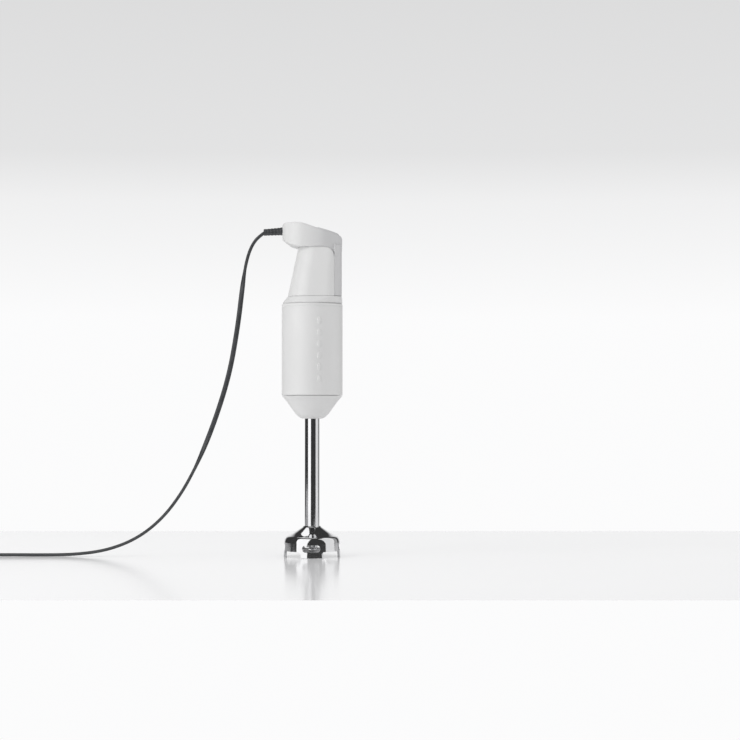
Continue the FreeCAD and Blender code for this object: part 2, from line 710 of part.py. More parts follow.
def button_cap(mid, grow, xs):
    """A button's rounded oblong between two x planes, `grow` larger all round."""
    wide, tall = d.button_wide / 2 + grow, d.button_tall / 2 + grow
    body = new_body("ButtonCap")
    sketch = new_sketch(body, "YZ_Plane", xs[0])
    ease = 4.0
    bulge = -0.2929 * ease
    outline(sketch, [
        (wide, mid - tall + ease, bulge), (wide, mid + tall - ease),
        (wide - ease, mid + tall, bulge), (ease - wide, mid + tall),
        (-wide, mid + tall - ease, bulge), (-wide, mid - tall + ease),
        (ease - wide, mid - tall, bulge), (wide - ease, mid - tall),
    ])
    pad(body, sketch, xs[1] - xs[0])
    return body


def make_head_cover():
    """The head and the spine that runs down behind the neck: one shell with a hook's outline."""
    wall = d.handle_wall
    behind = box((d.spine_edge + 0.2, 40), (-40, 40), (260, 340))
    spine = common(neck_form(d.spine_proud, d.neck_low + 0.2, d.head_under + 2.4), behind)
    head = fuse(head_form(0.0), spine)
    hollow = head_form(wall + 0.3)
    ahead = box((-40, d.spine_edge + 0.1), (-40, 40), (260, 340))
    throat = cut(common(neck_form(0.25, 300, d.neck_high + 0.4), ahead), neck_corner(0.0))
    recess = tilted(d.dial_radius + 0.4, -1.5, 8)
    shaft_hole = tilted(d.dial_shaft + 0.4, -8, 2)
    cord_hole = cylinder(d.relief_root + 0.2, 8, (-d.head_left - 2, 0, d.relief_height), ALONG_X)
    windows = [button_cap(mid, float(d.window_gap), (24.0, 34.0))
               for mid in (d.high_button_mid, d.low_button_mid)]
    node("head_cover", cut(head, hollow, throat, neck_form(-wall, 270, 331), recess, shaft_hole,
                           cord_hole, *windows))


# --- controls -----------------------------------------------------------------------------------


def make_button(name, mid):
    """A dished push button with a flange and stem behind it."""
    cap = button_cap(mid, 0.0, (d.flange_inner + 1, d.button_face))
    dish = cylinder(24.0, 40, (d.button_face + 22.6, -20, mid), ALONG_Y)
    flange = box((d.flange_inner, d.flange_inner + 1.2), (-7.6, 7.6), (mid - 9.2, mid + 9.2))
    stem = cylinder(d.stem_radius, d.flange_inner - d.stem_tip + 0.5, (d.stem_tip, 0, mid), ALONG_X)
    node(name, fuse(cut(cap, dish), flange, stem))


def make_button_spring(name, mid):
    foot = (22.0, 0, mid)
    node(name, cut(cylinder(3.7, 3.1, foot, ALONG_X), cylinder(2.7, 5, (21.0, 0, mid), ALONG_X)))


def make_switchgear():
    """The control board with two microswitches, and the bracket that guides the stems."""
    back = d.board_face - d.board_thick
    low, high = d.plate_low, d.plate_high
    node("control_board", box((back, d.board_face), (-13.0, 13.0), (low - 1, high)))
    plate = box((20.9, 21.9), (-9.0, 9.0), (low, high))
    legs = [box((d.board_face, 21.0), (-9.0, 9.0), (foot, foot + 1.2)) for foot in (low, high - 1.2)]
    holes = [cylinder(d.stem_radius + 0.3, 4, (19.5, 0, mid), ALONG_X)
             for mid in (d.high_button_mid, d.low_button_mid)]
    node("switch_bracket", cut(fuse(plate, *legs), *holes))
    for name, mid in (("high_switch", d.high_button_mid), ("low_switch", d.low_button_mid)):
        case = box((d.board_face, 19.4), (-3.2, 3.2), (mid - 5.5, mid + 5.5))
        plunger = cylinder(1.2, 1.2, (19.2, 0, mid), ALONG_X)
        node(name, fuse(case, plunger))
    node("capacitor", box((back - 8.0, back), (-4.0, 4.0), (294.0, 305.0)))


def make_dial():
    """The speed dial on the sloping top, with its stub shaft, and the control below it."""
    disc = tilted(d.dial_radius, -1.1, 1.4)
    pointer = new_body("Pointer")
    pad(pointer, outline(new_sketch(pointer, "XY_Plane", 1.3), rectangle(
        (-11.6, -5.4), (-0.8, 0.8))), 0.7)
    pointer.Placement = Placement(DIAL_MIDDLE, SLOPE)
    node("speed_dial", fuse(disc, pointer, tilted(d.dial_shaft, -9.0, -1.0)))
    case = tilted(8.0, -14.0, -6.4)
    node("speed_control", cut(case, tilted(d.dial_shaft + 0.3, -10, -5)))


def make_cord_anchor():
    """The bar and two screws that grip the cord inside the head, and the floor it grips on."""
    mid, grip = d.clamp_mid, d.clamp_screw
    xs = (-mid - d.clamp_half, -mid + d.clamp_half)
    sides = (-6.4, 6.4)
    bores = [cylinder(grip + 0.02, 20.0, (-mid, y, 330.0)) for y in sides]
    bar = box(xs, (-8.5, 8.5), (343.2, 344.9))
    node("cord_clamp", cut(bar, *bores))
    seat = box(xs, (-8.5, 8.5), (335.5, 338.6))
    posts = [cylinder(2.4, 5.0, (-mid, y, 338.0)) for y in sides]
    cradle = box((-28, -20), (-3.2, 3.2), (336.9, 345))
    node("cord_seat", cut(fuse(seat, *posts), *bores, cradle))
    screws = []
    for y in sides:
        screws.append(cylinder(grip, 9.5, (-mid, y, 335.7)))
        screws.append(cylinder(2.3, 1.2, (-mid, y, 344.9)))
    node("cord_clamp_screws", fuse(*screws))


# --- cord ---------------------------------------------------------------------------------------


def rounded_path(points, report=None):
    """Straight runs joined by tangent arcs, each arc as large as its two runs allow."""
    edges, start = [], points[0]
    for before, corner, after in zip(points, points[1:], points[2:]):
        into, out = corner - before, after - corner
        turn = into.getAngle(out)
        back = 0.45 * min(into.Length, out.Length)
        radius = back / math.tan(turn / 2)
        one = corner - into.normalize() * back
        two = corner + out.normalize() * back
        pull = (out - into).normalize()
        middle = corner + pull * (radius / math.cos(turn / 2) - radius)
        edges.append(Part.LineSegment(start, one).toShape())
        edges.append(Part.Arc(one, middle, two).toShape())
        start = two
        if report:
            print(f"{report} bend at {corner.x:.0f}, {corner.z:.0f}: radius {radius:.1f} mm")
    edges.append(Part.LineSegment(start, points[-1]).toShape())
    return Part.Wire(edges)


def swept(name, points, radius, report=None):
    """A round tube along a rounded path."""
    path = rounded_path(points, report)
    circle = Part.Circle(points[0], points[1] - points[0], float(radius))
    solid = path.makePipeShell([Part.Wire(circle.toShape())], True, False)
    expected = math.pi * float(radius) ** 2 * path.Length
    if abs(solid.Volume - expected) > 0.01 * expected:
        raise SystemExit(f"{name}: volume {solid.Volume:.0f}, not {expected:.0f}")
    print(f"{name}: {path.Length:.0f} mm long")
    return solid


def feature(name, solid):
    thing = doc.addObject("Part::Feature", name)
    thing.Shape = solid
    return node(name, thing)


def make_leads():
    """The insulated leads: mains to the board, and the board to the two brush holders."""
    mains = [(-20.6, 339.6), (-14.0, 333.0), (-3.0, 330.5), (5.0, 324.0), (8.6, 316.0),
             (10.6, 308.0)]
    motor = [(10.6, 292.0), (8.4, 284.0), (7.6, 272.0), (7.6, 262.0)]
    for name, route, spread in (("mains_leads", mains, 2.2), ("motor_leads", motor, 9.0)):
        wires = [swept(name, [Vector(x, side * spread, z) for x, z in route], 1.1)
                 for side in (1, -1)]
        feature(name, Part.makeCompound(wires))


def make_cord():
    slender = d.cord_radius
    feature("power_cord", swept("power_cord", [Vector(x, 0, z) for x, z in CORD_ROUTE],
                                slender, "cord"))
    feature("cord_tail", swept("cord_tail", [Vector(x, 0, z) for x, z in TAIL_ROUTE],
                               slender, "tail"))
    node("cord_coil", ring(d.coil_outer, d.coil_inner, 0.0, d.coil_tall,
                           at=(-d.coil_away, -d.coil_aside)))


def make_strain_relief():
    """A flexible sleeve, tapered and drooping a little, with a flange inside the head."""
    root, height = 3.6 - d.head_left, d.relief_height
    droop = Rotation(Vector(0, 1, 0), 270 - 3.4)
    sleeve = cone(d.relief_root, d.relief_tip, d.relief_end + root, (root, 0, height), droop)
    flange = cylinder(5.1, 1.1, (root + 0.3, 0, height), ALONG_X)
    ribs = [cylinder(4.15 - 0.045 * (away - 34), 1.3, (-away, 0, height - 0.059 * (away - 29.3)),
                     droop) for away in RELIEF_RIBS]
    node("strain_relief", fuse(sleeve, flange, *ribs))


def make_plug():
    """A moulded two-pin plug that lies on the table, with its pins pointing away."""
    body = new_body("Plug")
    near, far = -d.plug_near, -d.plug_near - d.plug_long
    neck, wide = d.plug_neck / 2, d.plug_wide / 2
    outline(new_sketch(body, "XY_Plane", 0.0), [
        (near, -neck), (near, neck), (near - 13, neck + 1.5), (far + 12, wide), (far, wide),
        (far, -wide), (far + 12, -wide), (near - 13, -neck - 1.5),
    ])
    pad(body, body.Group[0], d.plug_tall)
    node("plug_body", body)
    pins = [cylinder(d.pin_radius, d.pin_long, (far, d.pin_apart / 2 * side, d.plug_tall / 2),
                     Rotation(Vector(0, 1, 0), -90)) for side in (1, -1)]
    node("plug_pins", fuse(*pins))


# --- build, test and write ----------------------------------------------------------------------


def build():
    make_motor_housing()
    make_interlock_ring()
    make_nose_cone()
    make_leg_tube()
    make_blade_guard()
    make_leg_bearings()
    make_spindle()
    make_blade()
    make_stator()
    make_brackets()
    make_bearings()
    make_rotor()
    make_fan()
    make_drive_dog()
    make_brushes()
    make_collar_ring()
    make_neck_shell()
    make_head_cover()
    make_button("high_button", d.high_button_mid)
    make_button("low_button", d.low_button_mid)
    make_button_spring("high_button_spring", d.high_button_mid)
    make_button_spring("low_button_spring", d.low_button_mid)
    make_switchgear()
    make_dial()
    make_cord_anchor()
    make_leads()
    make_cord()
    make_strain_relief()
    make_plug()


def write_parts():
    doc.recompute()
    for thing in doc.Objects:
        if "Invalid" in thing.State or "Error" in thing.State:
            raise SystemExit(f"{thing.Label} ({thing.TypeId}) failed: {thing.State}")
    for name, thing in nodes.items():
        shape = thing.Shape
        if shape.isNull() or not shape.isValid() or not shape.Solids:
            raise SystemExit(f"{name} has no valid solid")
        print(f"{name}: {len(shape.Solids)} solid(s), {shape.Volume / 1000:.2f} cm3")
    os.makedirs("parts", exist_ok=True)
    for name, thing in nodes.items():
        thing.Shape.exportStep(f"parts/{name}.step")


build()
write_parts()
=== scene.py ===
import json
import math

import bmesh
import bpy
from mathutils import Matrix, Vector


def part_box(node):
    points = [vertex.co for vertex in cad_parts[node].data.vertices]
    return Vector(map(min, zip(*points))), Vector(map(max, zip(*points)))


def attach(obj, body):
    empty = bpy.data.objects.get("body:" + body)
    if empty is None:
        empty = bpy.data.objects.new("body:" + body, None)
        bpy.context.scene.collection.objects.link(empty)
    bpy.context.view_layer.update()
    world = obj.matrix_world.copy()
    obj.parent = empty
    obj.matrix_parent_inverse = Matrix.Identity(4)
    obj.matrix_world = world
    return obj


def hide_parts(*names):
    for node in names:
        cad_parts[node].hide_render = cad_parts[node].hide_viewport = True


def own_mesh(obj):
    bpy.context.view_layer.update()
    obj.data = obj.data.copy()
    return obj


# Immersion blender. The motor's axis is Z, the cord leaves the head towards -X and the press
# buttons face +X. Lengths are written in millimetres and multiplied by MM.

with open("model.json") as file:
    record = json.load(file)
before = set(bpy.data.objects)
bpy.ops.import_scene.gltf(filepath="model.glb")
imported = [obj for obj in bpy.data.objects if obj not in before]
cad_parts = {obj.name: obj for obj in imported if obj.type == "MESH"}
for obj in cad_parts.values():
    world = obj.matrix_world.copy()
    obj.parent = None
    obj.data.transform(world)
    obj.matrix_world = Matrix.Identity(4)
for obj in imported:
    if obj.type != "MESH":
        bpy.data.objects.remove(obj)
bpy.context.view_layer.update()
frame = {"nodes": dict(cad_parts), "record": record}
scene = bpy.context.scene
MM = 0.001


# --- camera -------------------------------------------------------------------------------------

EYE = Vector((0.0607, -1.89, 0.1555))
LOOK_UP = math.radians(1.21)
LENS = 87.6
SENSOR_WIDTH = 36.0


def set_camera():
    data = bpy.data.cameras.new("view_camera")
    data.lens = LENS
    data.sensor_width = SENSOR_WIDTH
    data.clip_start = 0.05
    data.clip_end = 30.0
    camera = bpy.data.objects.new("view_camera", data)
    camera.location = EYE
    camera.rotation_euler = (math.pi / 2 + LOOK_UP, 0, 0)
    scene.collection.objects.link(camera)
    scene.camera = camera
    scene.view_settings.view_transform = "Standard"


set_camera()


# --- material tools -----------------------------------------------------------------------------

# The range that a noise texture's values mostly fill.
NOISE_LOW, NOISE_HIGH = 0.3, 0.7
# The distance between a wave texture's bands at scale 1, in metres.
BAND_PITCH = 0.314


def colour_ramp(tree, factor, stops):
    """A colour ramp over (place, (red, green, blue)) stops."""
    node = tree.nodes.new("ShaderNodeValToRGB")
    points = node.color_ramp.elements
    while len(points) < len(stops):
        points.new(0.5)
    for point, (at, colour) in zip(points, stops):
        point.position = at
        point.color = (*colour, 1.0)
    tree.links.new(factor, node.inputs["Fac"])
    return node.outputs["Color"]


class Recipe:
    """A material's node tree, built up from Object coordinates."""

    def __init__(self, name):
        self.material = bpy.data.materials.new(name)
        self.material.use_nodes = True
        self.tree = self.material.node_tree
        self.shader = self.tree.nodes["Principled BSDF"]
        self.place = self.tree.nodes.new("ShaderNodeTexCoord").outputs["Object"]

    def set(self, values):
        for name, value in values.items():
            self.shader.inputs[name].default_value = value
        return self

    def link(self, source, target):
        self.tree.links.new(source, target)

    def stretched(self, scale):
        """Object coordinates, scaled by axis."""
        mapping = self.tree.nodes.new("ShaderNodeMapping")
        mapping.inputs["Scale"].default_value = scale
        self.link(self.place, mapping.inputs["Vector"])
        return mapping.outputs["Vector"]

    def noise(self, scale, detail=3.0, rough=0.55, at=None):
        node = self.tree.nodes.new("ShaderNodeTexNoise")
        node.inputs["Scale"].default_value = scale
        node.inputs["Detail"].default_value = detail
        node.inputs["Roughness"].default_value = rough
        self.link(at or self.place, node.inputs["Vector"])
        return node.outputs["Fac"]

    def bands(self, pitch, profile="SIN", distortion=0.0):
        """Bands across the Z axis, `pitch` metres apart."""
        node = self.tree.nodes.new("ShaderNodeTexWave")
        node.bands_direction = "Z"
        node.wave_profile = profile
        node.inputs["Scale"].default_value = BAND_PITCH / pitch
        node.inputs["Distortion"].default_value = distortion
        self.link(self.place, node.inputs["Vector"])
        return node.outputs["Fac"]

    def along_x(self, low, high):
        """0 to 1 between two places on the X axis, eased at both ends."""
        split = self.tree.nodes.new("ShaderNodeSeparateXYZ")
        self.link(self.place, split.inputs["Vector"])
        node = self.tree.nodes.new("ShaderNodeMapRange")
        node.interpolation_type = "SMOOTHSTEP"
        node.inputs["From Min"].default_value = low
        node.inputs["From Max"].default_value = high
        self.link(split.outputs["X"], node.inputs["Value"])
        return node.outputs["Result"]

    def span(self, factor, low, high, name):
        """Lets a noise drive one of the shader's inputs between two values."""
        node = self.tree.nodes.new("ShaderNodeMapRange")
        node.inputs["From Min"].default_value = NOISE_LOW
        node.inputs["From Max"].default_value = NOISE_HIGH
        node.inputs["To Min"].default_value = low
        node.inputs["To Max"].default_value = high
        self.link(factor, node.inputs["Value"])
        self.link(node.outputs["Result"], self.shader.inputs[name])
        return self

    def colour(self, factor, stops):
        """The base colour, as a colour ramp over a factor."""
        self.link(colour_ramp(self.tree, factor, stops), self.shader.inputs["Base Color"])
        return self

    def bump(self, *layers):
        """Layers of (height output, strength, distance), the coarsest first."""
        normal = None
        for height, strength, distance in layers:
            node = self.tree.nodes.new("ShaderNodeBump")
            node.inputs["Strength"].default_value = strength
            node.inputs["Distance"].default_value = distance
            self.link(height, node.inputs["Height"])
            if normal is not None:
                self.link(normal, node.inputs["Normal"])
            normal = node.outputs["Normal"]
        self.link(normal, self.shader.inputs["Normal"])
        return self.material


def satin(recipe, rough, grain):
    """A satin moulding's surface: fine spark-eroded grain and slight sink marks."""
    recipe.span(recipe.noise(60.0, 2.0), rough - 0.05, rough + 0.05, "Roughness")
    recipe.set({"Specular IOR Level": 0.45})
    return recipe.bump((recipe.noise(22.0, 1.0), 0.03, 0.001),
                       (recipe.noise(5200.0, 2.0), grain, 0.00006))


def moulded_plastic(name, dark, light, rough, grain=0.05):
    """Satin moulded plastic with a slow drift in its tone."""
    recipe = Recipe(name)
    recipe.colour(recipe.noise(14.0, 2.0), [(0.35, dark), (0.68, light)])
    return satin(recipe, rough, grain)


def grey_and_shaded_plastic(name, pale, grey, rough):
    """The head's satin plastic, pale at the cord's end and greyer towards the spine: partly the
    spine's own grey, partly painted shade on the side turned from the key light.
    """
    recipe = Recipe(name)
    # Painted shade: the colour darkens along X, away from the key light, on top of the spine's own
    # grey.
    recipe.colour(recipe.along_x(-0.012, 0.016), [(0.0, pale), (1.0, grey)])
    return satin(recipe, rough, 0.06)


def polished_steel(name, dark, light, rough, scale, strength=0.012):
    """Bright steel with fine polishing lines, `scale` stretching them along one axis."""
    recipe = Recipe(name)
    lines = recipe.noise(1.0, 4.0, 0.6, recipe.stretched(scale))
    recipe.colour(recipe.noise(35.0, 2.0), [(0.35, dark), (0.65, light)])
    recipe.span(lines, rough * 0.7, rough * 1.4, "Roughness")
    recipe.set({"Metallic": 1.0})
    return recipe.bump((lines, strength, 0.00004))


def soft_rubber(name, dark, light, rough):
    """Flexible sheath or rubber: matt, finely pebbled, a little dusty."""
    recipe = Recipe(name)
    recipe.colour(recipe.noise(180.0, 4.0), [(0.35, dark), (0.7, light)])
    recipe.span(recipe.noise(90.0, 3.0), rough - 0.06, rough + 0.08, "Roughness")
    return recipe.bump((recipe.noise(900.0, 3.0), 0.12, 0.00012),
                       (recipe.noise(4200.0, 2.0), 0.10, 0.00005))


def wound_wire(name, dark, light, pitch):
    """Enamelled wire in close turns, `pitch` metres apart up the part."""
    recipe = Recipe(name)
    turns = recipe.bands(pitch, distortion=0.6)
    recipe.colour(turns, [(0.2, dark), (0.8, light)])
    recipe.set({"Metallic": 0.6, "Roughness": 0.32, "Coat Weight": 0.5})
    return recipe.bump((turns, 0.6, 0.0003))


def laminated(name, dark, light, pitch):
    """Stacked steel sheets, seen as fine lines across the part."""
    recipe = Recipe(name)
    sheets = recipe.bands(pitch, "SAW")
    recipe.colour(sheets, [(0.1, dark), (0.6, light)])
    recipe.set({"Metallic": 0.8, "Roughness": 0.45})
    return recipe.bump((sheets, 0.4, 0.0001))


def circuit_board(name):
    """Green resin with faint traces and pads."""
    recipe = Recipe(name)
    cells = recipe.tree.nodes.new("ShaderNodeTexVoronoi")
    cells.feature = "DISTANCE_TO_EDGE"
    cells.inputs["Scale"].default_value = 240.0
    recipe.link(recipe.place, cells.inputs["Vector"])
    recipe.colour(cells.outputs["Distance"], [
        (0.04, (0.10, 0.42, 0.20)), (0.10, (0.02, 0.16, 0.07))])
    recipe.set({"Roughness": 0.35, "Coat Weight": 0.3})
    return recipe.bump((cells.outputs["Distance"], 0.2, 0.0001))


# Noise scales by axis, which draw the polishing lines out one way.
LINES_UP = (3.0, 3.0, 420.0)
LINES_ROUND = (900.0, 900.0, 6.0)

FINISHES = {
    "housing_white": moulded_plastic(
        "housing_white", (0.745, 0.745, 0.74), (0.775, 0.775, 0.77), 0.42),
    # The head and dial: pale to grey along X, partly real grey plastic and partly painted shade.
    "spine_grey": grey_and_shaded_plastic("spine_grey", (0.76, 0.76, 0.755), (0.63, 0.63, 0.633), 0.48),
    "button_grey": moulded_plastic(
        "button_grey", (0.56, 0.56, 0.565), (0.60, 0.60, 0.605), 0.55, 0.10),
    "steel": polished_steel(
        "steel", (0.70, 0.70, 0.71), (0.78, 0.78, 0.79), 0.075, LINES_UP),
    "shaft_steel": polished_steel(
        "shaft_steel", (0.50, 0.50, 0.51), (0.62, 0.62, 0.63), 0.26, LINES_UP, 0.08),
    "lamination": laminated("lamination", (0.09, 0.09, 0.10), (0.28, 0.29, 0.31), 0.0006),
    "copper": wound_wire("copper", (0.28, 0.09, 0.04), (0.78, 0.36, 0.18), 0.0005),
    "brass": polished_steel(
        "brass", (0.62, 0.46, 0.20), (0.76, 0.60, 0.30), 0.22, LINES_ROUND),
    "bronze": polished_steel(
        "bronze", (0.34, 0.22, 0.11), (0.50, 0.35, 0.19), 0.42, LINES_ROUND, 0.15),
    "carbon": soft_rubber("carbon", (0.02, 0.02, 0.02), (0.06, 0.06, 0.06), 0.6),
    "inner_plastic": moulded_plastic(
        "inner_plastic", (0.36, 0.37, 0.39), (0.44, 0.45, 0.47), 0.5, 0.08),
    "black_plastic": moulded_plastic(
        "black_plastic", (0.02, 0.02, 0.02), (0.04, 0.04, 0.042), 0.42, 0.1),
    "board_green": circuit_board("board_green"),
    "rubber": soft_rubber("rubber", (0.012, 0.012, 0.012), (0.03, 0.03, 0.03), 0.6),
    "cord_grey": soft_rubber("cord_grey", (0.038, 0.040, 0.043), (0.060, 0.063, 0.067), 0.38),
    "wire_blue": soft_rubber("wire_blue", (0.02, 0.06, 0.28), (0.04, 0.11, 0.42), 0.4),
}


# --- cord ---------------------------------------------------------------------------------------

CORD_WIDE = 0.0052
CORD_THICK = 0.0032
EDGE_ON = math.pi / 2
CORD_ROUTE = (
    (-50.2, 339.8), (-57.0, 335.0), (-62.3, 328.0), (-65.9, 320.2), (-68.3, 312.5),
    (-71.0, 300.2), (-74.0, 277.0), (-76.9, 251.4), (-80.6, 226.6), (-84.8, 202.5),
    (-90.6, 178.5), (-99.0, 151.5), (-109.5, 122.5), (-122.0, 93.5), (-137.5, 65.0),
    (-157.5, 39.0), (-183.5, 18.6), (-214.5, 6.5), (-248.0, 2.1), (-282.0, 1.7),
    (-315.0, 1.9), (-336.0, 1.8), (-357.0, 1.7),
)
TAIL_ROUTE = ((-391.0, 5.2), (-401.0, 5.6), (-412.5, 6.4), (-423.7, 6.8))
# The flat lead's twist: it leaves the sleeve edge on, and turns its broad side to the front
# where it hangs.
BROAD_SIDE = range(6, 13)
COIL_TURNS = 4
TURN_POINTS = 24
LOWER_LAYER, UPPER_LAYER = 0.0017, 0.0051


def coil_points():
    """Four turns in two layers, outwards to inwards and back, in the coil's own space."""
    low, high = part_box("cord_coil")
    centre = (low + high) / 2
    outer = (high.x - low.x) / 2 - CORD_WIDE / 2
    inner = outer - CORD_WIDE
    stages = [(outer, LOWER_LAYER), (inner, LOWER_LAYER), (inner, UPPER_LAYER),
              (outer, UPPER_LAYER), (outer, UPPER_LAYER)]
    points = []
    for step in range(1, TURN_POINTS * COIL_TURNS):
        whole, part = divmod(step / TURN_POINTS, 1)
        # The lead moves over to its next stage in the last quarter of each turn.
        shift = max(0.0, part * 4 - 3)
        (radius, height), (next_radius, next_height) = stages[int(whole)], stages[int(whole) + 1]
        radius += (next_radius - radius) * shift
        height += (next_height - height) * shift
        angle = math.pi / 2 + part * math.tau
        points.append(Vector((centre.x + radius * math.cos(angle),
                              centre.y + radius * math.sin(angle), height)))
    return points


def make_cord():
    """The flat twin lead: down to the table, round its coil and into the plug."""
    hanging = [Vector((x, 0, z)) * MM for x, z in CORD_ROUTE]
    tail = [Vector((x, 0, z)) * MM for x, z in TAIL_ROUTE]
    points = hanging + coil_points() + tail
    curve = bpy.data.curves.new("mains_lead", "CURVE")
    curve.dimensions = "3D"
    curve.twist_mode = "Z_UP"
    spline = curve.splines.new("NURBS")
    spline.points.add(len(points) - 1)
    for index, (spot, point) in enumerate(zip(spline.points, points)):
        spot.co = (*point, 1.0)
        spot.tilt = 0.0 if index in BROAD_SIDE else EDGE_ON
    spline.order_u = 3
    spline.use_endpoint_u = True
    spline.resolution_u = 8
    curve.bevel_depth = CORD_THICK / 2
    curve.extrude = (CORD_WIDE - CORD_THICK) / 2
    curve.bevel_resolution = 4
    curve.use_fill_caps = True
    curve.materials.append(FINISHES["cord_grey"])
    lead = bpy.data.objects.new("mains_lead", curve)
    scene.collection.objects.link(lead)
    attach(lead, "motor_unit")
    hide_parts("power_cord", "cord_coil", "cord_tail")
    return lead, sum((b - a).length for a, b in zip(points, points[1:]))


lead, lead_length = make_cord()


# --- mesh tools ---------------------------------------------------------------------------------

# Edges that fold by more than this stay sharp.
SHARP_FROM = math.radians(32)

def outline(points):
    """A flat face in the plane y = 0 from (x, z) points in millimetres. A third number rounds
    that corner, starting so far back from it."""
    form = bmesh.new()
    corners = [form.verts.new((point[0] * MM, 0, point[1] * MM)) for point in points]
    form.faces.new(corners)
    for point, corner in zip(points, corners):
        if len(point) == 3:
            bmesh.ops.bevel(form, geom=[corner], offset=point[2] * MM, offset_type="OFFSET",
                            segments=5, profile=0.5, affect="VERTICES", material=-1)
    return form


def turned(points, steps=96):
    """An outline of (radius, z) turned into a closed form about the Z axis."""
    form = outline(points)
    bmesh.ops.delete(form, geom=form.faces[:], context="FACES_ONLY")
    bmesh.ops.spin(form, geom=form.verts[:] + form.edges[:], cent=(0, 0, 0), axis=(0, 0, 1),
                   angle=math.tau, steps=steps, use_merge=True)
    bmesh.ops.remove_doubles(form, verts=form.verts, dist=1e-7)
    bmesh.ops.recalc_face_normals(form, faces=form.faces)
    return form


def slab(points, thick):
    """An outline made `thick` metres deep, half each way in Y."""
    form = outline(points)
    grown = bmesh.ops.extrude_face_region(form, geom=form.faces[:])
    far_side = [item for item in grown["geom"] if isinstance(item, bmesh.types.BMVert)]
    bmesh.ops.translate(form, verts=far_side, vec=(0, thick, 0))
    bmesh.ops.translate(form, verts=form.verts, vec=(0, -thick / 2, 0))
    bmesh.ops.recalc_face_normals(form, faces=form.faces)
    return form


def moved(form, matrix):
    """A form after a transform, which changes the form itself."""
    bmesh.ops.transform(form, matrix=matrix, verts=form.verts)
    return form


def turn(degrees, axis="Z"):
    return Matrix.Rotation(math.radians(degrees), 4, axis)


def joined(*forms):
    """Forms gathered into the first one."""
    whole = forms[0]
    for form in forms[1:]:
        mesh = bpy.data.meshes.new("part")
        form.to_mesh(mesh)
        form.free()
        whole.from_mesh(mesh)
        bpy.data.meshes.remove(mesh)
    return whole


def thing_of(form, name="draft"):
    """An object in the scene made from a form, which is used up."""
    mesh = bpy.data.meshes.new(name)
    form.to_mesh(mesh)
    form.free()
    thing = bpy.data.objects.new(name, mesh)
    scene.collection.objects.link(thing)
    return thing


def settled(thing):
    """A form with a draft object's modifiers applied, and the draft gone."""
    graph = bpy.context.evaluated_depsgraph_get()
    form = bmesh.new()
    form.from_object(thing, graph)
    bpy.data.objects.remove(thing)
    return form


def carved(form, *tools):
    """A form with other forms cut out of it."""
    draft = thing_of(form)
    cutters = [thing_of(tool, "cutter") for tool in tools]
    for cutter in cutters:
        cutting = draft.modifiers.new("cut", "BOOLEAN")
        cutting.solver = "EXACT"
        cutting.object = cutter
    result = settled(draft)
    for cutter in cutters:
        bpy.data.objects.remove(cutter)
    return result


def ramp_between(value, none, full):
    """0 at `none` and beyond, 1 at `full` and beyond. Either may be the larger."""
    return min(1.0, max(0.0, (value - none) / (full - none)))


def moulded(node, voxel, passes, extra=0, share=None):
    """A CAD node's form with its edges eased as a moulding's are. `share` gives the part of the
    `extra` passes that a point takes as well."""
    form = bmesh.new()
    form.from_mesh(frame["nodes"][node].data)
    bmesh.ops.remove_doubles(form, verts=form.verts, dist=1e-6)
    draft = thing_of(form)
    remesh = draft.modifiers.new("remesh", "REMESH")
    remesh.mode = "VOXEL"
    remesh.voxel_size = voxel
    form = settled(draft)
    shares = [(vert, share(vert.co) * extra if share else 0) for vert in form.verts]
    for step in range(passes + extra):
        verts = [vert for vert, count in shares if count + passes > step]
        bmesh.ops.smooth_vert(form, verts=verts, factor=0.5, use_axis_x=True, use_axis_y=True,
                              use_axis_z=True)
    return form


def piece(name, form, finish, body, *stands_for):
    """A finished piece, riding on its body in place of its CAD nodes."""
    thing = thing_of(form, name)
    thing.data.materials.append(FINISHES[finish])
    thing.data.shade_smooth()
    thing.data.set_sharp_from_angle(angle=SHARP_FROM)
    normals = thing.modifiers.new("normals", "WEIGHTED_NORMAL")
    normals.keep_sharp = True
    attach(thing, body)
    if stands_for:
        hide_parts(*stands_for)
    return thing


# --- housing ------------------------------------------------------------------------------------

# The concave bend where the head's underside turns down into the spine strip, in metres.
BEND = Vector((0.0133, 0, 0.3131))
BEND_RADIUS = 0.0105
SEAM_REACH = 0.0010
SEAM_GAP = 0.0003
CORNER_SPREAD = 0.045
FOOT_DROP = 0.0002
MESH_STEP = 0.00055
# The dial's place on the sloping top, and the height of the cord's hole, in metres.
DIAL_X, DIAL_Z = 0.016, 0.3405
DIAL_SLOPE = 17
CORD_HOLE_Z = 0.3414
PIP_HEIGHTS = (186.0, 198.0, 210.0, 222.0, 234.0, 246.0)
# Degrees round from the barrel's front, towards the press buttons.
PIP_SIDE = 15.0


def make_pip(height):
    """One raised lozenge of the column on the barrel's front."""
    pip = bmesh.new()
    bmesh.ops.create_uvsphere(pip, u_segments=24, v_segments=12, radius=1.0)
    moved(pip, Matrix.Diagonal((2.3 * MM, 0.75 * MM, 4.0 * MM, 1)))
    moved(pip, Matrix.Translation((0, -31.85 * MM, height * MM)))
    return moved(pip, turn(PIP_SIDE))


def make_barrel():
    """The barrel, open below, with a fine parting groove, an inner shelf and its pips."""
    barrel = turned([
        (28.6, 168.8), (31.9, 168.8, 0.9), (31.9, 261.3), (31.65, 261.6), (31.9, 261.9),
        (31.9, 264.4, 0.9), (29.6, 264.4), (29.6, 183.4), (26.0, 183.4), (26.0, 181.4),
        (29.6, 181.4), (29.6, 169.9), (28.6, 169.9),
    ], steps=160)
    for height in PIP_HEIGHTS:
        joined(barrel, make_pip(height))
    piece("barrel", barrel, "housing_white", "motor_unit", "motor_housing")


